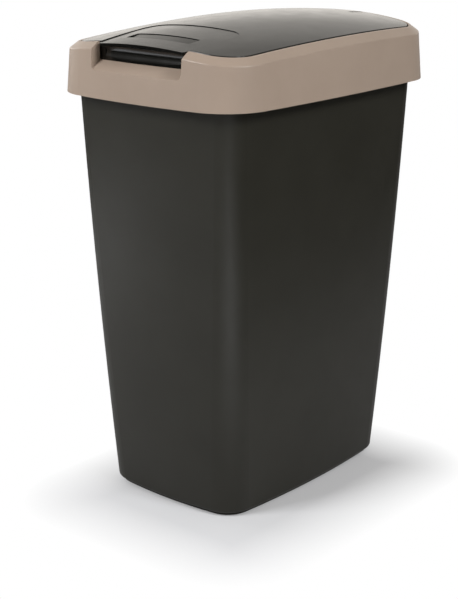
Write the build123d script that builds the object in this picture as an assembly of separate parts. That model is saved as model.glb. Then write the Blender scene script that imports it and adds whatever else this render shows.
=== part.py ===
from build123d import *
from math import cos, radians, tan
import os

# Lidded waste bin: bucket, lift-off collar and crowned lid on two hinge pins.
# Millimetres. Origin on the floor under the middle of the bin, +Z up, front along -Y.

# Bucket: outer sizes on the foot line and at the rim
foot_width = 191.6
foot_depth = 280.5
foot_side_bow = 7.7
foot_end_bow = 7.8
foot_corner = 32.0
rim_width = 228.7
rim_depth = 331.9
rim_side_bow = 6.2
rim_end_bow = 10.5
rim_corner = 25.0
bucket_height = 464.0
bucket_swell = 1.8
bucket_wall = 2.2
floor_thickness = 2.8

# Foot ring under the bucket
foot_ring_height = 3.0
foot_ring_width = 3.0
bottom_round = 4.0
ring_step = 0.8

# Rolled rim of the bucket
rim_flange_thickness = 2.2
rim_skirt_depth = 8.0
rim_skirt_thickness = 2.0

# Collar: how far its lower edge overhangs the rim, and the shape of that edge
collar_side_overhang = 14.65
collar_end_overhang = 14.05
collar_side_bow = 6.2
collar_end_bow = 10.5
collar_corner = 51.0
collar_overlap = 28.0
collar_lean = 4.65
collar_wall = 2.2
bevel_drop = 4.9
bevel_round = 1.5
rim_inset = 15.5
rim_strip = 1.9
rim_round = 0.9
rim_to_collar_gap = 4.8
ledge_rise = 8.0
ledge_inner_inset = 22.5
bag_skirt_depth = 29.0
rib_thickness = 2.0
rib_clearance = 0.5
rib_hook_depth = 8.0
end_rib_places = (-88.0, -30.0, 30.0, 88.0)
side_rib_places = (-115.0, -58.0, 0.0, 58.0, 115.0)

# Crown shared by the lid and the collar's rim: heights above the collar's lower edge
crown_margin = 6.0
crown_front = 53.9
crown_middle = 71.7
crown_rear = 62.5
crown_front_radius = 717.0
crown_middle_radius = 453.0
crown_rear_radius = 614.0

# Finger notch in the collar's front
notch_half_width = 60.5
notch_floor = 27.7
notch_corner = 6.0
notch_slope = 34.5

# Lid
lid_gap = 1.3
lid_plate = 2.2
lid_skirt = 2.0
lid_round = 0.8
lid_seat_gap = 0.3
rear_skirt_lead = 30.0
rear_skirt_rise = 14.0
rear_skirt_run = 16.0

# Sunken field on the lid, behind its lip: its surface sinks below the crown towards the front
field_side_margin = 2.5
field_flare = 4.5
field_length = 83.2
field_corner = 17.0
field_drop_middle = 0.28
field_tilt = 0.76

# Thumb recess in the sunken field: its floor sinks further towards the front
thumb_half_width = 42.0
thumb_from_edge = 38.2
thumb_length = 18.0
thumb_back_depth = 0.6
thumb_front_depth = 1.9
thumb_corner = 2.5

# Lip and finger groove at the lid's front
lip_reach = 4.3
lip_gap = 3.0
lip_thickness = 2.6
lip_corner = 4.5
groove_half_width = 55.0
groove_radius = 9.0
groove_depth = 3.0

# Hinge at the rear
hinge_from_edge = 21.2
hinge_height = 59.0
hinge_spread = 32.0
bracket_thickness = 4.0
bracket_gap = 0.6
slot_lead = 2.2
lug_thickness = 3.0
knuckle_radius = 4.3
pin_radius = 2.0
pin_fit = 0.02
pin_running_fit = 0.05
pin_head_radius = 3.4
pin_head_length = 1.6
pin_head_gap = 0.3
pin_end = 0.6

# Heights and places worked out from the sizes above
foot_ring_inset = bottom_round + ring_step
collar_width = rim_width + 2 * collar_side_overhang
collar_depth = rim_depth + 2 * collar_end_overhang
collar_line = bucket_height - collar_overlap
crown_reach = collar_depth / 2 + crown_margin
ledge_top = bucket_height + ledge_rise
ledge_bottom = ledge_top - collar_wall
above_crown = collar_line + crown_middle + 10.0
bevel_width = rim_inset - rim_strip - crown_rear * tan(radians(collar_lean))
lid_edge_inset = rim_inset + lid_gap
lid_reach = collar_depth / 2 - lid_edge_inset
lid_seat = ledge_top + lid_seat_gap
rim_flange_inset = collar_wall + collar_overlap * tan(radians(collar_lean)) + rim_to_collar_gap
hinge_y = lid_reach - hinge_from_edge
hinge_z = collar_line + hinge_height
rear_wall_y = collar_depth / 2 - rim_inset
field_front_half_width = notch_half_width - field_side_margin
field_back_half_width = field_front_half_width + field_flare
field_back = field_length - lid_reach
field_drop_front = field_drop_middle + field_tilt
field_drop_rear = field_drop_middle - field_tilt
thumb_back = thumb_from_edge - lid_reach


def quarter_points(width, depth, side_bow, end_bow, corner, grow):
    """Ends and middle of the corner arc that runs between a bowed side and a bowed end."""
    half_x = width / 2 - side_bow
    half_y = depth / 2 - end_bow
    end_radius = (half_x**2 + end_bow**2) / (2 * end_bow)
    side_radius = (half_y**2 + side_bow**2) / (2 * side_bow)
    end_centre = Vector(0, depth / 2 - end_radius)
    side_centre = Vector(width / 2 - side_radius, 0)
    between = side_centre - end_centre
    reach = end_radius - corner
    along = (reach**2 - (side_radius - corner) ** 2 + between.length**2) / (2 * between.length)
    across = (reach**2 - along**2) ** 0.5
    unit = between.normalized()
    centre = end_centre + unit * along + Vector(unit.Y, -unit.X) * across
    to_side = (centre - side_centre).normalized()
    to_end = (centre - end_centre).normalized()
    radius = corner + grow
    middle = centre + (to_side + to_end).normalized() * radius
    return centre + to_side * radius, middle, centre + to_end * radius


def bowed_face(width, depth, side_bow, end_bow, corner, grow=0.0, height=0.0):
    """Rounded oblong with bowed sides, moved outward by grow, as a level face."""
    side, middle, end = quarter_points(width, depth, side_bow, end_bow, corner, grow)
    half_width = width / 2 + grow
    half_depth = depth / 2 + grow
    arcs = []
    for turn in (1, -1):
        stops = [
            (turn * side.X, -turn * side.Y),
            (turn * half_width, 0),
            (turn * side.X, turn * side.Y),
            (turn * middle.X, turn * middle.Y),
            (turn * end.X, turn * end.Y),
            (0, turn * half_depth),
            (-turn * end.X, turn * end.Y),
            (-turn * middle.X, turn * middle.Y),
            (-turn * side.X, turn * side.Y),
        ]
        for first in (0, 2, 4, 6):
            arcs.append(ThreePointArc(*stops[first : first + 3]))
    return Pos(0, 0, height) * Face(Wire(arcs))


def collar_face(inset, height):
    """The collar's lower outline moved inward by inset, at a height."""
    return bowed_face(
        collar_width, collar_depth, collar_side_bow, collar_end_bow, collar_corner, -inset, height
    )


def collar_prism(inset, bottom, top):
    """Upright block on the collar's outline, moved inward by inset."""
    return extrude(collar_face(inset, bottom), amount=top - bottom)


def leaning_block(inset, bottom, top, lean):
    """Block on the collar's outline whose walls lean inward by an angle from upright."""
    shift = (top - bottom) * tan(radians(lean))
    return loft([collar_face(inset, bottom), collar_face(inset + shift, top)], ruled=True)


def crown_section(place, height, radius):
    """Upright face across the bin at one place along it, with a crowned top."""
    half = collar_width / 2 + crown_margin
    side_height = height - radius + (radius**2 - half**2) ** 0.5
    top = ThreePointArc(
        (-half, place, collar_line + side_height),
        (0, place, collar_line + height),
        (half, place, collar_line + side_height),
    )
    base = foot_ring_height
    sides = Polyline(
        (half, place, collar_line + side_height),
        (half, place, base),
        (-half, place, base),
        (-half, place, collar_line + side_height),
    )
    return Face(Wire([top, *sides.edges()]))


def crown_block(front_drop=0.0, rear_drop=0.0):
    """All the space under the crown, lowered by a drop at its front and at its rear."""
    middle_drop = (front_drop + rear_drop) / 2
    return loft(
        [
            crown_section(-crown_reach, crown_front - front_drop, crown_front_radius),
            crown_section(0, crown_middle - middle_drop, crown_middle_radius),
            crown_section(crown_reach, crown_rear - rear_drop, crown_rear_radius),
        ]
    )


def side_block(points, half_width):
    """Block from an outline of (y, z) points, reaching half_width to each side."""
    outline = Polyline(*[(0, y, z) for y, z in points], close=True)
    return extrude(Face(Wire(outline.edges())), amount=half_width, dir=(1, 0, 0), both=True)


def cross_cylinder(radius, length, x, y, z):
    """Cylinder along X about a middle point."""
    return Pos(x, y, z) * Rot(0, 90, 0) * Cylinder(radius, length)


def upper_edges(block, foot):
    """The edges along the tops of the walls that stand on a level."""
    walls = [face for face in block.faces() if abs(face.bounding_box().min.Z - foot) < 0.1]
    edges = [edge for wall in walls for edge in wall.edges()]
    return [edge for edge in edges if edge.bounding_box().min.Z > foot + 0.1]


def edges_at(block, height):
    """The edges of a block that lie level at a height."""
    return block.edges().filter_by_position(Axis.Z, height - 0.01, height + 0.01)


# Bucket
def bucket_block(shrink, bottom):
    """Drafted, slightly swelling block of the bucket, shrunk all round, above a level bottom."""
    middle_width = (foot_width + rim_width) / 2 + 2 * bucket_swell
    middle_depth = (foot_depth + rim_depth) / 2 + 2 * bucket_swell
    middle_side_bow = (foot_side_bow + rim_side_bow) / 2
    middle_end_bow = (foot_end_bow + rim_end_bow) / 2
    middle_corner = (foot_corner + rim_corner) / 2
    block = loft(
        [
            bowed_face(foot_width, foot_depth, foot_side_bow, foot_end_bow, foot_corner, -shrink, 0),
            bowed_face(
                middle_width,
                middle_depth,
                middle_side_bow,
                middle_end_bow,
                middle_corner,
                -shrink,
                bucket_height / 2,
            ),
            bowed_face(
                rim_width, rim_depth, rim_side_bow, rim_end_bow, rim_corner, -shrink, bucket_height
            ),
        ]
    )
    block -= Box(foot_depth * 2, foot_depth * 2, bottom, align=(Align.CENTER, Align.CENTER, Align.MIN))
    return fillet(edges_at(block, bottom), bottom_round)


def foot_ring():
    """Low ring that the bin stands on."""
    sizes = (foot_width, foot_depth, foot_side_bow, foot_end_bow, foot_corner)
    outside = bowed_face(*sizes, -foot_ring_inset)
    inside = bowed_face(*sizes, -foot_ring_inset - foot_ring_width)
    return extrude(outside - inside, amount=foot_ring_height + bucket_wall)


def make_bucket():
    """Bucket with its foot ring and rolled rim."""
    rim_bottom = bucket_height - rim_flange_thickness
    skirt_bottom = bucket_height - rim_skirt_depth
    flange = collar_prism(rim_flange_inset, rim_bottom, bucket_height)
    rolled = collar_prism(rim_flange_inset, skirt_bottom, bucket_height)
    rolled -= collar_prism(rim_flange_inset + rim_skirt_thickness, skirt_bottom, bucket_height)
    body = bucket_block(0, foot_ring_height) + foot_ring() + flange + rolled
    return body - bucket_block(bucket_wall, foot_ring_height + floor_thickness)


# Collar
def collar_block(wall):
    """The collar's bevelled outer block, or the same block one wall further in."""
    walls = leaning_block(wall, collar_line, above_crown, collar_lean)
    block = walls & crown_block(wall, wall)
    top = block.faces().sort_by(Axis.Z)[-1]
    return chamfer(top.outer_wire().edges(), length=bevel_width, length2=bevel_drop, reference=top)


def collar_ring():
    """The collar's outer block opened for the lid, with rounds on its bevel and inner rim."""
    block = collar_block(0)
    block = fillet(upper_edges(block, collar_line), bevel_round)
    block -= collar_prism(rim_inset, ledge_top, above_crown)
    return fillet(upper_edges(block, ledge_top), rim_round)


def notch_prism(grow):
    """Upright-sided block of the finger notch, with rounded lower corners."""
    bottom = collar_line + notch_floor - grow
    block = Pos(0, -collar_depth / 2, bottom) * Box(
        2 * (notch_half_width + grow),
        2 * ledge_inner_inset,
        above_crown - bottom,
        align=(Align.CENTER, Align.CENTER, Align.MIN),
    )
    corners = edges_at(block, bottom).filter_by(Axis.Y)
    return fillet(corners, notch_corner + grow)


def notch_ramp(drop):
    """Everything under the notch's sloping floor, lowered by a drop."""
    outer_inset = notch_floor * tan(radians(collar_lean))
    start = collar_line + notch_floor - drop
    rise = ledge_inner_inset * tan(radians(notch_slope))
    below = collar_prism(outer_inset, 0, start)
    return leaning_block(outer_inset, start, start + rise, 90 - notch_slope) + below


def rib_plates():
    """Upright plates along and across the bin where the ribs stand."""
    bottom = bucket_height - rib_hook_depth
    height = above_crown - bottom
    rest = (Align.CENTER, Align.CENTER, Align.MIN)
    along = [Pos(x, 0, bottom) * Box(rib_thickness, collar_depth, height, align=rest) for x in end_rib_places]
    across = [Pos(0, y, bottom) * Box(collar_width, rib_thickness, height, align=rest) for y in side_rib_places]
    return along + across


def collar_ribs(hollow):
    """Thin ribs in the collar's hollow that sit on the bucket's rim and hook outside it."""
    bottom = bucket_height - rib_hook_depth
    inner_inset = (collar_width - rim_width) / 2 + bucket_wall
    space = hollow - collar_prism(inner_inset, collar_line, above_crown)
    space -= collar_prism(rim_inset, ledge_top, above_crown)
    space -= collar_prism(rim_flange_inset - rib_clearance, bottom, bucket_height)
    return [space & plate for plate in rib_plates()]


def hinge_bracket(x):
    """Gusset from the collar's rear wall forward to the hinge pin."""
    ledge_front = collar_depth / 2 - ledge_inner_inset
    in_wall = rear_wall_y + collar_wall / 2
    in_ledge = ledge_top - collar_wall / 2
    points = [
        (hinge_y, hinge_z + knuckle_radius),
        (in_wall, hinge_z + knuckle_radius),
        (in_wall, in_ledge),
        (ledge_front, in_ledge),
        (hinge_y, hinge_z - knuckle_radius),
    ]
    gusset = Pos(x, 0, 0) * side_block(points, bracket_thickness / 2)
    return gusset + cross_cylinder(knuckle_radius, bracket_thickness, x, hinge_y, hinge_z)


def make_collar():
    """Collar frame: bevelled shell, lid ledge, bag skirt, ribs, finger notch and hinge brackets."""
    hollow = collar_block(collar_wall)
    wall_column = collar_prism(rim_inset - collar_wall, collar_line, above_crown)
    ramp_wall = collar_wall / cos(radians(notch_slope))
    channel = hollow - wall_column
    channel -= notch_prism(collar_wall) - notch_ramp(ramp_wall)
    throat = collar_prism(rim_inset - collar_wall, collar_line, ledge_bottom)
    throat -= collar_prism(ledge_inner_inset - collar_wall, ledge_top - bag_skirt_depth, ledge_bottom)
    body = collar_ring() - channel - throat
    for rib in collar_ribs(hollow):
        body += rib
    body -= collar_prism(ledge_inner_inset, collar_line, ledge_top)
    body -= notch_prism(0) - notch_ramp(0)
    for x in (-hinge_spread, hinge_spread):
        body += hinge_bracket(x)
        bore = pin_radius + pin_running_fit
        body -= cross_cylinder(bore, bracket_thickness + bracket_gap, x, hinge_y, hinge_z)
    return body


# Lid
def field_prism(grow):
    """Upright block of the sunken field, wider at the back, with two rounded back corners."""
    front = -crown_reach
    front_half = field_front_half_width + grow
    back_half = field_back_half_width + grow
    outline = Polyline(
        (-front_half, front),
        (front_half, front),
        (back_half, field_back + grow),
        (-back_half, field_back + grow),
        close=True,
    )
    face = Face(Wire(outline.edges()))
    back_corners = face.vertices().sort_by(Axis.Y)[-2:]
    face = face.fillet_2d(field_corner + grow, back_corners)
    return extrude(Pos(0, 0, ledge_top) * face, amount=above_crown - ledge_top)


def field_block(drop):
    """Everything under the sunken field's surface, lowered by a drop."""
    return crown_block(field_drop_front + drop, field_drop_rear + drop)


def thumb_block(drop):
    """Everything under the thumb recess's floor, lowered by a drop."""
    slope = (thumb_front_depth - thumb_back_depth) / thumb_length
    front_drop = field_drop_front + thumb_back_depth + slope * (thumb_back + crown_reach)
    rear_drop = field_drop_rear + thumb_back_depth + slope * (thumb_back - crown_reach)
    return crown_block(front_drop + drop, rear_drop + drop)


def thumb_prism(grow):
    """Upright block that holds the thumb recess, with rounded corners."""
    block = Pos(0, thumb_back + grow, ledge_top) * Box(
        2 * (thumb_half_width + grow),
        thumb_length + 2 * grow,
        above_crown - ledge_top,
        align=(Align.CENTER, Align.MAX, Align.MIN),
    )
    return fillet(block.edges().filter_by(Axis.Z), thumb_corner + grow)


def lid_hollow():
    """The hollow under the lid's plate, which follows the field and the thumb recess."""
    space = collar_prism(lid_edge_inset + lid_skirt, ledge_top, above_crown)
    space &= crown_block(lid_plate, lid_plate)
    space -= field_prism(lid_plate) - field_block(lid_plate)
    return space - (thumb_prism(lid_plate) - thumb_block(lid_plate))


def lid_lip():
    """Front lip that the fingers lift, flush with the sunken field and rooted in the skirt."""
    half = notch_half_width - lip_gap
    front = -lid_reach - lip_reach
    back = front + 3 * lip_reach
    face = Face(Wire(Polyline((-half, front), (half, front), (half, back), (-half, back), close=True).edges()))
    face = face.fillet_2d(lip_corner, face.vertices().sort_by(Axis.Y)[:2])
    prism = extrude(Pos(0, 0, ledge_top) * face, amount=above_crown - ledge_top)
    prism -= collar_prism(lid_edge_inset + lid_skirt / 2, lid_seat, above_crown)
    return prism & field_block(0) - field_block(lip_thickness)


def groove_backing():
    """Thicker stretch of the front skirt behind the finger groove."""
    return Pos(0, -lid_reach, lid_seat) * Box(
        2 * groove_half_width,
        groove_depth + lid_plate,
        above_crown - lid_seat,
        align=(Align.CENTER, Align.MIN, Align.MIN),
    )


def groove_hollow():
    """Hollow across the front skirt that the fingertips fill."""
    axis_y = -lid_reach + groove_depth - groove_radius
    length = 2 * (groove_half_width - lid_skirt)
    return cross_cylinder(groove_radius, length, 0, axis_y, lid_seat + groove_radius)


def hinge_lug(x):
    """Lug that hangs from the lid's plate beside a bracket."""
    upright = Pos(x, hinge_y, hinge_z) * Box(
        lug_thickness,
        2 * knuckle_radius,
        above_crown - hinge_z,
        align=(Align.CENTER, Align.CENTER, Align.MIN),
    )
    eye = cross_cylinder(knuckle_radius, lug_thickness, x, hinge_y, hinge_z)
    return upright & crown_block(lid_plate / 2, lid_plate / 2) + eye


def make_lid():
    """Crowned lid with its skirt, sunken field, thumb recess, lip and hinge lugs."""
    plate = collar_prism(lid_edge_inset, lid_seat, above_crown)
    body = plate & crown_block()
    body = fillet(upper_edges(body, lid_seat), lid_round)
    body -= lid_hollow()
    body += groove_backing() & plate & field_block(lid_plate / 2)
    body -= groove_hollow()
    body -= field_prism(0) - field_block(0)
    body += lid_lip()
    body -= thumb_prism(0) - thumb_block(0)
    rear_top = lid_seat + rear_skirt_rise
    rear_skirt_start = hinge_y - rear_skirt_lead
    behind = collar_depth
    below = lid_seat - rear_skirt_rise
    body -= side_block(
        [
            (rear_skirt_start, below),
            (rear_skirt_start, lid_seat),
            (rear_skirt_start + rear_skirt_run, rear_top),
            (behind, rear_top),
            (behind, below),
        ],
        collar_width,
    )
    slot_half = bracket_thickness / 2 + bracket_gap
    slot_front = hinge_y - knuckle_radius - slot_lead
    for x in (-hinge_spread, hinge_spread):
        for side in (-1, 1):
            body += hinge_lug(x + side * (slot_half + lug_thickness / 2))
        body -= Pos(x, slot_front, hinge_z - 3 * knuckle_radius) * Box(
            2 * slot_half,
            collar_depth,
            above_crown,
            align=(Align.CENTER, Align.MIN, Align.MIN),
        )
        bore_length = 2 * (slot_half + lug_thickness + pin_end)
        body -= cross_cylinder(pin_radius + pin_fit, bore_length, x, hinge_y, hinge_z)
    return body


# Hinge pins
def make_pin(side):
    """Headed pin through two lid lugs and the bracket between them; its head faces the middle."""
    reach = bracket_thickness / 2 + bracket_gap + lug_thickness
    inner = -reach - pin_head_gap
    shaft_length = reach + pin_end - inner
    shaft = cross_cylinder(pin_radius, shaft_length, (reach + pin_end + inner) / 2, 0, 0)
    head = cross_cylinder(pin_head_radius, pin_head_length, inner - pin_head_length / 2, 0, 0)
    pin = shaft + head
    if side < 0:
        pin = mirror(pin, about=Plane.YZ)
    return Pos(side * hinge_spread, hinge_y, hinge_z) * pin


parts = {
    "bucket": make_bucket(),
    "collar": make_collar(),
    "lid": make_lid(),
    "hinge_pin_left": make_pin(-1),
    "hinge_pin_right": make_pin(1),
}

os.makedirs("parts", exist_ok=True)
for name, shape in parts.items():
    export_step(shape, f"parts/{name}.step")
    print(name, "solids", len(shape.solids()), "volume", round(shape.volume))
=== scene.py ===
# %% [markdown]
# # A kitchen bin in moulded plastic
# This lesson dresses a waste bin: a tapered bucket, a collar that rests on its rim, and a
# crowned lid that swings on two pins. The shapes are finished already and arrive as a fixed
# frame of solids, so the work here is the camera, the plastics and the light. Three mouldings
# that differ only in colour and in the polish of their moulds have to read as three plastics.
# Lengths are in metres unless a name says otherwise, and the front of the bin faces -Y.

# %% Load the frame
import math

import bpy
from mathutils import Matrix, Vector

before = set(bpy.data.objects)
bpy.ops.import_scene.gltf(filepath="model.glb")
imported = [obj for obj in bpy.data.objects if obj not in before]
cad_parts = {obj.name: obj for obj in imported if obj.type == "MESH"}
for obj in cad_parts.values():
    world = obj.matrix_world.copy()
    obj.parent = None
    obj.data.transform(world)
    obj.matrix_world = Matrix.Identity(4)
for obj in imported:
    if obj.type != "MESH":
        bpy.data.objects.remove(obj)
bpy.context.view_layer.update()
print("pieces:", ", ".join(sorted(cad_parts)))

# %% [markdown]
# ## Camera
# A photograph of a product fixes five things: how far round the camera stands, how high it
# is, how far away, how long the lens is and where the picture's middle falls. Straight edges
# alone can't separate distance from lens length, but the way the bucket's walls close in
# towards the floor can. The values below put the outlines of the bin within about a pixel.

# %% Place the camera
bin_middle = Vector((0.0, 0.0, 0.25))
camera_place = Vector((0.9732, -1.1782, 0.6663))
camera_round = math.radians(40.38)
camera_height = math.radians(17.17)
towards_camera = Vector(
    (
        math.sin(camera_round) * math.cos(camera_height),
        -math.cos(camera_round) * math.cos(camera_height),
        math.sin(camera_height),
    )
)
camera_data = bpy.data.cameras.new("product_camera")
camera_data.lens = 86.04
camera_data.sensor_width = 36.0
camera_data.shift_x = 0.0006
camera_data.clip_start = 0.05
camera_data.clip_end = 60.0
camera = bpy.data.objects.new("product_camera", camera_data)
camera.location = camera_place
camera.rotation_mode = "QUATERNION"
camera.rotation_quaternion = (-towards_camera).to_track_quat("-Z", "Y")
bpy.context.collection.objects.link(camera)
bpy.context.scene.camera = camera
bpy.context.scene.view_settings.view_transform = "Standard"
print("camera to the middle of the bin:", round((camera_place - bin_middle).length, 3), "m")

# %% [markdown]
# ## Colour and nodes
# Plastics are matched against sample chips, and a chip's colour is written as a hex value for
# a screen. The renderer counts light, so each value is turned to linear first, in one place.
# Every node in the lesson is added by one small function that takes its settings and links.


# %% Helpers for colour and nodes
def linear(hex_colour):
    """The linear colour of an sRGB hex value, with full alpha."""
    channels = [int(hex_colour[i : i + 2], 16) / 255 for i in (1, 3, 5)]
    curve = [c / 12.92 if c <= 0.04045 else ((c + 0.055) / 1.055) ** 2.4 for c in channels]
    return (*curve, 1.0)


def add(tree, kind, settings=None, **inputs):
    """Adds one node, with its settings, and sets or links its inputs by name or number."""
    node = tree.nodes.new(kind)
    for name, value in (settings or {}).items():
        setattr(node, name, value)
    for name, value in inputs.items():
        place = int(name[1:]) if name[0] == "_" else name.replace("_", " ")
        socket = node.inputs[place]
        if isinstance(value, bpy.types.NodeSocket):
            tree.links.new(value, socket)
        else:
            socket.default_value = value
    return node


def per_metre(millimetres):
    """Texture scale that repeats a pattern once in a real length."""
    return 1000.0 / millimetres


print("bucket pigment in linear light:", [round(c, 4) for c in linear("#26251f")[:3]])

# %% [markdown]
# ## What moulded polypropylene looks like
# All of the bin is thermoplastic that was shot molten into a steel mould, so its skin is a
# print of that steel. A spark-eroded cavity leaves a fine even grain, which spreads highlights
# and hides scratches. A polished one leaves gloss. Both skins also carry long, shallow waves,
# because a thick spot shrinks more than a thin one as it cools. A grain and waves of real
# depth go into one Bump each. The colour is mixed into the pellets, so it hardly varies: a
# slow change by one or two hundredths of a screen's range keeps it from looking flat.


# %% A moulded skin
def moulded_skin(tree, grain_mm, grain_depth_mm, wave_mm, wave_depth_mm):
    """Normal of a moulded surface: mould grain on top of long shrinkage waves."""
    place = add(tree, "ShaderNodeTexCoord").outputs["Object"]
    waves = add(
        tree,
        "ShaderNodeTexNoise",
        Vector=place,
        Scale=per_metre(wave_mm),
        Detail=1.0,
        Roughness=0.4,
    )
    waved = add(
        tree,
        "ShaderNodeBump",
        Strength=1.0,
        Distance=wave_depth_mm / 1000,
        Height=waves.outputs["Fac"],
    )
    grain = add(
        tree,
        "ShaderNodeTexNoise",
        Vector=place,
        Scale=per_metre(grain_mm),
        Detail=2.0,
        Roughness=0.6,
    )
    grained = add(
        tree,
        "ShaderNodeBump",
        Strength=1.0,
        Distance=grain_depth_mm / 1000,
        Height=grain.outputs["Fac"],
        Normal=waved.outputs["Normal"],
    )
    return grained.outputs["Normal"]


def pigment(tree, dark_hex, light_hex, cloud_mm):
    """Colour of a dyed plastic: two close shades in soft clouds."""
    place = add(tree, "ShaderNodeTexCoord").outputs["Object"]
    clouds = add(
        tree,
        "ShaderNodeTexNoise",
        Vector=place,
        Scale=per_metre(cloud_mm),
        Detail=3.0,
        Roughness=0.55,
    )
    spread = add(
        tree,
        "ShaderNodeMapRange",
        Value=clouds.outputs["Fac"],
        From_Min=0.35,
        From_Max=0.65,
    )
    shades = add(
        tree,
        "ShaderNodeMix",
        {"data_type": "RGBA"},
        Factor=spread.outputs["Result"],
        _6=linear(dark_hex),
        _7=linear(light_hex),
    )
    return shades.outputs[2]


def gloss_spots(tree, low, high, spot_mm):
    """Roughness that drifts between two values, as the skin's contact with the steel does."""
    place = add(tree, "ShaderNodeTexCoord").outputs["Object"]
    spots = add(
        tree,
        "ShaderNodeTexNoise",
        Vector=place,
        Scale=per_metre(spot_mm),
        Detail=4.0,
        Roughness=0.6,
    )
    drift = add(
        tree,
        "ShaderNodeMapRange",
        Value=spots.outputs["Fac"],
        From_Min=0.3,
        From_Max=0.7,
        To_Min=low,
        To_Max=high,
    )
    return drift.outputs["Result"]


print("texture scale of a 1.6 mm grain:", per_metre(1.6))

# %% [markdown]
# ## What all the plastics share
# A refractive index belongs to the plastic itself and fixes how much light its skin mirrors:
# 1.49 for polypropylene and 1.48 for acetal. So it is set as soon as a material is made. The
# colour, the roughness and the bumps come from the pigment and the mould, and differ.


# %% Start and finish a plastic
def new_plastic(name, refractive_index):
    """A new material with a plastic's refractive index, its node tree and its shader."""
    finish = bpy.data.materials.new(name)
    finish.use_nodes = True
    tree = finish.node_tree
    skin = tree.nodes["Principled BSDF"]
    skin.inputs["IOR"].default_value = refractive_index
    return finish, tree, skin


def wear(tree, skin, colour, roughness, relief):
    """Links a colour, a roughness and a normal to a shader."""
    tree.links.new(colour, skin.inputs["Base Color"])
    tree.links.new(roughness, skin.inputs["Roughness"])
    tree.links.new(relief, skin.inputs["Normal"])


polypropylene_index = 1.49
acetal_index = 1.48
print("refractive indices:", polypropylene_index, "and", acetal_index)

# %% [markdown]
# ## Bucket: black polypropylene from a spark-eroded mould
# The bucket is the cheap, tough part of the bin: polypropylene with carbon black and a little
# yellow in it, which gives a warm near-black. Its mould was spark-eroded, so it is matt. What
# the eye takes for its colour is half pigment and half light that the grain scatters, so the
# pigment is written darker than the bucket looks. The grain's pits also swallow a part of the
# light that a smooth skin would mirror, so its specular level is lowered.


# %% Finish of the bucket
def make_bucket_plastic():
    """Matt black polypropylene, with its grain drawn at 1.6 mm to show at all."""
    finish, tree, skin = new_plastic("black_polypropylene_spark_eroded", polypropylene_index)
    skin.inputs["Specular IOR Level"].default_value = 0.3
    colour = pigment(tree, "#26251f", "#292822", cloud_mm=60)
    roughness = gloss_spots(tree, 0.38, 0.43, spot_mm=25)
    relief = moulded_skin(tree, grain_mm=1.6, grain_depth_mm=0.02, wave_mm=90, wave_depth_mm=0.25)
    wear(tree, skin, colour, roughness, relief)
    return finish


bucket_plastic = make_bucket_plastic()
print("made", bucket_plastic.name, "with", len(bucket_plastic.node_tree.nodes), "nodes")

# %% [markdown]
# ## Collar: taupe polypropylene
# The collar is the same plastic with white and brown pigment. White pigment scatters light
# inside the wall, so pale plastic looks softer and fuller than black. Its mould had a finer
# grain, which leaves a faint satin highlight along the bevel.


# %% Finish of the collar
def make_collar_plastic():
    """Satin taupe polypropylene with a fine grain."""
    finish, tree, skin = new_plastic("taupe_polypropylene_satin", polypropylene_index)
    colour = pigment(tree, "#a08f81", "#a39284", cloud_mm=45)
    roughness = gloss_spots(tree, 0.36, 0.42, spot_mm=18)
    relief = moulded_skin(tree, grain_mm=1.3, grain_depth_mm=0.01, wave_mm=70, wave_depth_mm=0.12)
    wear(tree, skin, colour, roughness, relief)
    return finish


collar_plastic = make_collar_plastic()
print("made", collar_plastic.name, "with", len(collar_plastic.node_tree.nodes), "nodes")

# %% [markdown]
# ## Lid: black polypropylene from a polished mould
# The lid's mould was polished, so the lid mirrors the room. Seen from low down, it mirrors far
# more than from above, which is why the black lid looks grey at the back and black on its
# upright front. The shader does this by itself from the refractive index: no node paints it.
# A polished skin still has a faint orange peel, a few millimetres wide.


# %% Finish of the lid
def make_lid_plastic():
    """Semi-gloss black polypropylene with a faint orange peel."""
    finish, tree, skin = new_plastic("black_polypropylene_polished", polypropylene_index)
    colour = pigment(tree, "#0d0d0b", "#10100e", cloud_mm=50)
    roughness = gloss_spots(tree, 0.17, 0.22, spot_mm=20)
    relief = moulded_skin(tree, grain_mm=3.5, grain_depth_mm=0.004, wave_mm=60, wave_depth_mm=0.05)
    wear(tree, skin, colour, roughness, relief)
    return finish


lid_plastic = make_lid_plastic()
print("made", lid_plastic.name, "with", len(lid_plastic.node_tree.nodes), "nodes")

# %% [markdown]
# ## Hinge pins: black acetal
# Pins that turn in plastic bores are often acetal, which is hard and slides without grease.
# They are turned or moulded to size, so their finish is even and a little waxy.


# %% Finish of the hinge pins
def make_pin_plastic():
    """Waxy black acetal with a very fine grain."""
    finish, tree, skin = new_plastic("black_acetal_turned", acetal_index)
    colour = pigment(tree, "#1c1c1c", "#222222", cloud_mm=4)
    roughness = gloss_spots(tree, 0.30, 0.38, spot_mm=3)
    relief = moulded_skin(tree, grain_mm=0.4, grain_depth_mm=0.003, wave_mm=6, wave_depth_mm=0.01)
    wear(tree, skin, colour, roughness, relief)
    return finish


pin_plastic = make_pin_plastic()
print("made", pin_plastic.name, "with", len(pin_plastic.node_tree.nodes), "nodes")

# %% [markdown]
# ## Put the finishes on the pieces
# Each solid of the frame keeps its mesh and its place, and only takes a finish.

# %% Dress the pieces
finishes = {
    "bucket": bucket_plastic,
    "collar": collar_plastic,
    "lid": lid_plastic,
    "hinge_pin_left": pin_plastic,
    "hinge_pin_right": pin_plastic,
}
for name, finish in finishes.items():
    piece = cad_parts[name]
    piece.data.materials.clear()
    piece.data.materials.append(finish)
    print(name, "wears", finish.name)

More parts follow.
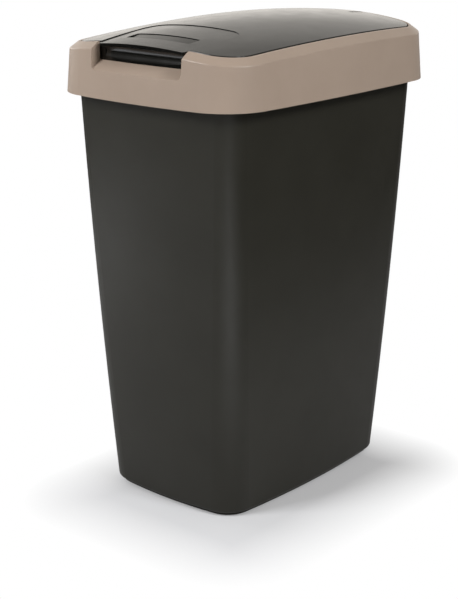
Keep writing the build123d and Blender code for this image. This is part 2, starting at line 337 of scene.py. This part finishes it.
# %% [markdown]
# ## Floor
# The bin stands on a strip of white paper that runs under it and up behind it, with grey studio
# floor to both sides. The bucket's walls lean outward, so they mirror the floor and not the
# room: the white paper greys the front wall, and the grey floor keeps the right wall dark. The
# camera sees the lit paper only in a small halo round the foot, and plain white past it, so
# that no horizon shows. The halo is a shadow that is partly real and partly painted: the lit
# paper in it carries the bin's real shadow, and the fade from it to white paints shade round
# the foot as well. The halo sits a little towards the camera, so that this painted shadow below
# the bin, which ties it to the floor, is widest in front. The strip is laid out by the direction
# across it, the place of its middle along that direction, half its width and half the width of
# its soft edge.

# %% Sizes of the paper and of its halo
foot_half = (0.09, 0.135, 1.0)
# The halo's middle, moved towards the camera: round it the camera sees lit paper, darker than the white
# outside, which is a partly painted shadow.
shadow_halo_middle = (0.035, -0.04, 0.0)
halo_lift = 0.1
white_at = 0.09
across_paper = (0.967, 0.256, 0.0)
paper_middle = -0.3
paper_half_width = 0.9
paper_edge = 0.2
print("paper strip", 2 * paper_half_width, "m wide, halo", white_at, "m past the foot")

# %% [markdown]
# ## Two distances on the floor
# The floor is one flat sheet, so what lies where is measured by nodes and not cut into the
# mesh. One distance runs across the strip and says where paper turns into studio floor. The
# other runs outward from the foot and says where the halo ends, with the shadow painted in it.


# %% Measure the floor
def shadow_halo_reach(tree, place):
    """Distance outside the rectangle of the partly painted shadow halo, which is the foot's footprint moved
    a little.
    """
    moved = add(tree, "ShaderNodeVectorMath", {"operation": "SUBTRACT"}, _0=place, _1=shadow_halo_middle)
    beside = add(tree, "ShaderNodeVectorMath", {"operation": "ABSOLUTE"}, _0=moved.outputs[0])
    past = add(tree, "ShaderNodeVectorMath", {"operation": "SUBTRACT"}, _0=beside.outputs[0], _1=foot_half)
    outside = add(tree, "ShaderNodeVectorMath", {"operation": "MAXIMUM"}, _0=past.outputs[0], _1=(0, 0, 0))
    reach = add(tree, "ShaderNodeVectorMath", {"operation": "LENGTH"}, _0=outside.outputs[0])
    return reach.outputs["Value"]


def beyond_paper(tree, place):
    """Zero on the paper strip and one on the studio floor beside it."""
    across = add(tree, "ShaderNodeVectorMath", {"operation": "DOT_PRODUCT"}, _0=place, _1=across_paper)
    off = add(tree, "ShaderNodeMath", {"operation": "SUBTRACT"}, _0=across.outputs["Value"], _1=paper_middle)
    aside = add(tree, "ShaderNodeMath", {"operation": "ABSOLUTE"}, _0=off.outputs[0])
    edge = add(
        tree,
        "ShaderNodeMapRange",
        {"interpolation_type": "SMOOTHSTEP"},
        Value=aside.outputs[0],
        From_Min=paper_half_width - paper_edge,
        From_Max=paper_half_width + paper_edge,
    )
    return edge.outputs["Result"]


print("the paper's edge fades over", 2 * paper_edge, "m")

# %% [markdown]
# ## Background paper
# Background paper is matt, with a tooth too fine to see from here, which only breaks up the
# light a little. The bin mirrors the paper as it is lit. What the camera alone sees is added
# with the Light Path node: a little extra light near the foot, which softens the shadow, and
# plain white past the halo. The lit paper near the foot stays darker than that white even where
# no shadow falls, so shade is painted round the foot.


# %% Make the floor
def make_floor_paper():
    """White paper and grey floor that are lit for every ray, and fade to white for the camera past the halo,
    which paints shade round the foot.
    """
    paper = bpy.data.materials.new("white_background_paper")
    paper.use_nodes = True
    tree = paper.node_tree
    tree.nodes.remove(tree.nodes["Principled BSDF"])
    place = add(tree, "ShaderNodeTexCoord").outputs["Object"]
    paint = add(
        tree,
        "ShaderNodeMix",
        {"data_type": "RGBA"},
        Factor=beyond_paper(tree, place),
        _6=linear("#cfd0d3"),
        _7=linear("#3c3c3c"),
    )
    fibres = add(tree, "ShaderNodeTexNoise", Vector=place, Scale=per_metre(fibre_mm), Detail=2.0)
    tooth = add(tree, "ShaderNodeBump", Strength=1.0, Distance=tooth_depth, Height=fibres.outputs["Fac"])
    matt = add(tree, "ShaderNodeBsdfDiffuse", Color=paint.outputs[2], Normal=tooth.outputs["Normal"])
    by_camera = add(tree, "ShaderNodeLightPath").outputs["Is Camera Ray"]
    lift = add(tree, "ShaderNodeMath", {"operation": "MULTIPLY"}, _0=by_camera, _1=halo_lift)
    glow = add(tree, "ShaderNodeEmission", Color=(1, 1, 1, 1), Strength=lift.outputs[0])
    near_floor = add(tree, "ShaderNodeAddShader", _0=matt.outputs[0], _1=glow.outputs[0])
    # Painted shadow: inside the halo the camera sees the lit paper, darker than the white outside it.
    far = add(tree, "ShaderNodeMapRange", Value=shadow_halo_reach(tree, place), From_Max=white_at)
    fade = add(tree, "ShaderNodeMath", {"operation": "MULTIPLY"}, _0=by_camera, _1=far.outputs["Result"])
    white = add(tree, "ShaderNodeEmission", Color=(1, 1, 1, 1), Strength=1.0)
    blend = add(
        tree,
        "ShaderNodeMixShader",
        _0=fade.outputs[0],
        _1=near_floor.outputs[0],
        _2=white.outputs[0],
    )
    tree.links.new(blend.outputs[0], tree.nodes["Material Output"].inputs["Surface"])
    return paper


fibre_mm = 1.5
tooth_depth = 0.00002
floor_half = 8.0
corners = [(-1, -1), (1, -1), (1, 1), (-1, 1)]
floor_mesh = bpy.data.meshes.new("floor")
floor_mesh.from_pydata([(x * floor_half, y * floor_half, 0) for x, y in corners], [], [(0, 1, 2, 3)])
floor_mesh.materials.append(make_floor_paper())
floor = bpy.data.objects.new("floor", floor_mesh)
bpy.context.collection.objects.link(floor)
print("floor", 2 * floor_half, "m square")

# %% [markdown]
# ## The room
# The lid is polished, so it shows the room. Behind the bin, to the left, the paper sweeps up to
# a bright band, brightest at the horizon. The band ends at 28 degrees above the level, and that
# edge is the soft step from light to dark across the lid. The rest of the room is dim, and
# dimmest at the front left, which the lid's upright lip mirrors. Lamps in a studio are a little
# warm, so the room is too. The camera itself sees plain white behind the bin.


# %% Helpers for headings
def towards(tree, heading, direction, low, high):
    """Rises from 0 to 1 as the part of a heading along a direction goes from low to high."""
    along = add(tree, "ShaderNodeVectorMath", {"operation": "DOT_PRODUCT"}, _0=heading, _1=direction)
    rise = add(
        tree,
        "ShaderNodeMapRange",
        {"interpolation_type": "SMOOTHSTEP"},
        Value=along.outputs["Value"],
        From_Min=low,
        From_Max=high,
    )
    return rise.outputs["Result"]


def between(tree, factor, start, end):
    """A value that runs from start to end as a factor runs from 0 to 1."""
    mixed = add(tree, "ShaderNodeMapRange", Value=factor, To_Min=start, To_Max=end)
    return mixed.outputs["Result"]


upward = (0.0, 0.0, 1.0)
front_heading = (-0.6, -0.8, 0.0)
band_heading = (-0.78, 0.62, 0.0)
print("the dim side faces", front_heading, "and the bright side", band_heading)

# %% [markdown]
# ## Light by heading
# A heading is the direction in which a mirrored ray leaves the bin. Each part of the room is a
# level of light over a range of headings. The ranges blend softly, because a hard edge in the
# room would show as a line on the lid.

# %% Paint the room
room_level = 0.33
front_level = 0.15
front_spread = (0.0, 0.6)
band_level = 0.8
band_spread = (0.2, 0.8)
horizon_level = 1.25
band_top = math.radians(28.0)
band_softness = 0.05
horizon_top = math.radians(8.0)
warm_white = (1.0, 0.955, 0.89, 1.0)

room = bpy.data.worlds.new("studio_room")
room.use_nodes = True
bpy.context.scene.world = room
tree = room.node_tree
heading = add(tree, "ShaderNodeTexCoord").outputs["Generated"]
in_front = towards(tree, heading, front_heading, *front_spread)
dim = between(tree, in_front, room_level, front_level)
high_up = towards(tree, heading, upward, math.sin(horizon_top), math.sin(2 * horizon_top))
band = between(tree, high_up, horizon_level, band_level)
band_edge = (math.sin(band_top - band_softness), math.sin(band_top + band_softness))
above_band = towards(tree, heading, upward, *band_edge)
in_band = add(
    tree,
    "ShaderNodeMath",
    {"operation": "MULTIPLY"},
    _0=towards(tree, heading, band_heading, *band_spread),
    _1=between(tree, above_band, 1.0, 0.0),
)
level = between(tree, in_band.outputs[0], dim, band)
walls = add(tree, "ShaderNodeBackground", Color=warm_white, Strength=level)
backdrop = add(tree, "ShaderNodeBackground", Color=(1, 1, 1, 1), Strength=1.0)
seen = add(
    tree,
    "ShaderNodeMixShader",
    _0=add(tree, "ShaderNodeLightPath").outputs["Is Camera Ray"],
    _1=walls.outputs[0],
    _2=backdrop.outputs[0],
)
tree.links.new(seen.outputs[0], tree.nodes["World Output"].inputs["Surface"])
print("room levels: all round", room_level, "front left", front_level, "band", band_level)

# %% [markdown]
# ## Lamps
# Three softboxes light the bin. The key stands at the front left, 35 degrees up, and the fill
# on the right, a little lower in power, so the front of the collar is a fifth brighter than
# its side. Both stand well apart, so the corner between them stays even, and high enough that
# the collar's overhang throws its short dark band on the bucket. A weak one on the left picks
# out the far end of the bevel. Two spots light only the paper. The bucket's near corner mirrors
# the patch by the camera, which draws a soft light line down it. The far side of the front wall
# mirrors the patch at the front left, so that wall darkens evenly towards the corner.


# %% Hang the lamps
def hang(name, kind, place, aim, watts, **settings):
    """A lamp at a place that faces a point."""
    lamp_data = bpy.data.lights.new(name, kind)
    lamp_data.energy = watts
    for setting, value in settings.items():
        setattr(lamp_data, setting, value)
    lamp = bpy.data.objects.new(name, lamp_data)
    lamp.location = place
    lamp.rotation_mode = "QUATERNION"
    lamp.rotation_quaternion = (Vector(place) - Vector(aim)).to_track_quat("Z", "Y")
    bpy.context.collection.objects.link(lamp)
    return lamp


spot = {"spot_size": math.radians(38), "spot_blend": 1.0, "shadow_soft_size": 0.15}
lamps = [
    hang("key_front", "AREA", (-0.55, -1.37, 1.28), bin_middle, 19.0, size=0.6),
    hang("fill_right", "AREA", (1.35, -0.11, 1.35), bin_middle, 16.0, size=0.5),
    hang("side_left", "AREA", (-1.6, -0.1, 0.9), bin_middle, 5.0, size=0.9),
    hang("paper_by_camera", "SPOT", (1.0, -0.8, 1.4), (0.66, -0.54, 0.0), 320.0, **spot),
    hang("paper_front_left", "SPOT", (-1.2, -1.0, 1.4), (-0.98, -0.72, 0.0), 260.0, **spot),
]
print("lamps:", ", ".join(lamp.name for lamp in lamps))
